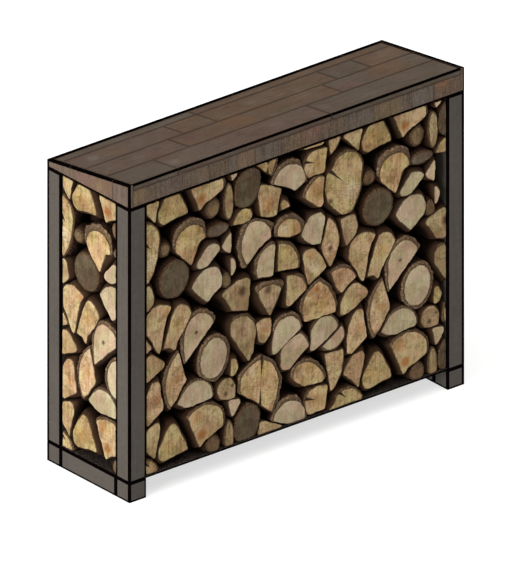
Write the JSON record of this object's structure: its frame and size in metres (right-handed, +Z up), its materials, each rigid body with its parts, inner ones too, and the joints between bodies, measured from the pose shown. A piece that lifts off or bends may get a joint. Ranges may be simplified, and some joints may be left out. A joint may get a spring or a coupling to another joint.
{
  "type": "firewood rack filled with split logs",
  "caption": "Free-standing firewood rack with square posts on foot blocks and a sloping board roof, filled to the top with a stack of split and round logs.",
  "frame": {"origin": "on the ground, under the middle of the rack", "axes": "+X along the rack to the right, +Y from front to back, +Z up"},
  "size_m": [1.2, 0.36, 0.975],
  "materials": {
    "painted_timber": "matt warm grey paint",
    "weathered_board": "bare, weathered, with open grain",
    "log_wood": "sawn ends, split faces and bark"
  },
  "bodies": {
    "root": {"foot_front_left": "painted_timber", "foot_front_right": "painted_timber", "foot_back_left": "painted_timber", "foot_back_right": "painted_timber", "base_rail_left": "painted_timber", "base_rail_right": "painted_timber", "post_front_left": "painted_timber", "post_front_right": "painted_timber", "post_back_left": "painted_timber", "post_back_right": "painted_timber", "bearer_front": "painted_timber", "bearer_back": "painted_timber", "floor_board": "painted_timber", "fascia_front": "weathered_board", "fascia_back": "weathered_board", "fascia_left": "weathered_board", "fascia_right": "weathered_board", "firring_1": "weathered_board", "firring_2": "weathered_board", "firring_3": "weathered_board", "firring_4": "weathered_board", "deck_board_1": "weathered_board", "deck_board_2": "weathered_board", "deck_board_3": "weathered_board", "deck_board_4": "weathered_board", "logs_row_1a": "log_wood", "logs_row_1b": "log_wood", "logs_row_1c": "log_wood", "logs_row_1d": "log_wood", "logs_row_1e": "log_wood", "logs_row_2a": "log_wood", "logs_row_3a": "log_wood", "logs_row_3b": "log_wood", "logs_row_3c": "log_wood", "logs_row_3d": "log_wood", "logs_row_3e": "log_wood", "logs_row_4a": "log_wood", "logs_row_4b": "log_wood", "logs_row_4c": "log_wood", "logs_row_4d": "log_wood", "logs_row_4e": "log_wood", "logs_row_5a": "log_wood", "logs_row_5b": "log_wood", "logs_row_5c": "log_wood", "logs_row_6a": "log_wood", "logs_row_6b": "log_wood", "logs_row_7a": "log_wood", "logs_row_7b": "log_wood", "logs_row_7c": "log_wood", "left_end_row_1a": "log_wood", "left_end_row_1b": "log_wood", "left_end_row_2a": "log_wood", "left_end_row_3a": "log_wood", "left_end_row_4a": "log_wood", "left_end_row_4b": "log_wood", "right_end_row_1a": "log_wood", "right_end_row_2a": "log_wood", "right_end_row_3a": "log_wood", "right_end_row_4a": "log_wood", "right_end_row_4b": "log_wood"}
  },
  "joints": []
}
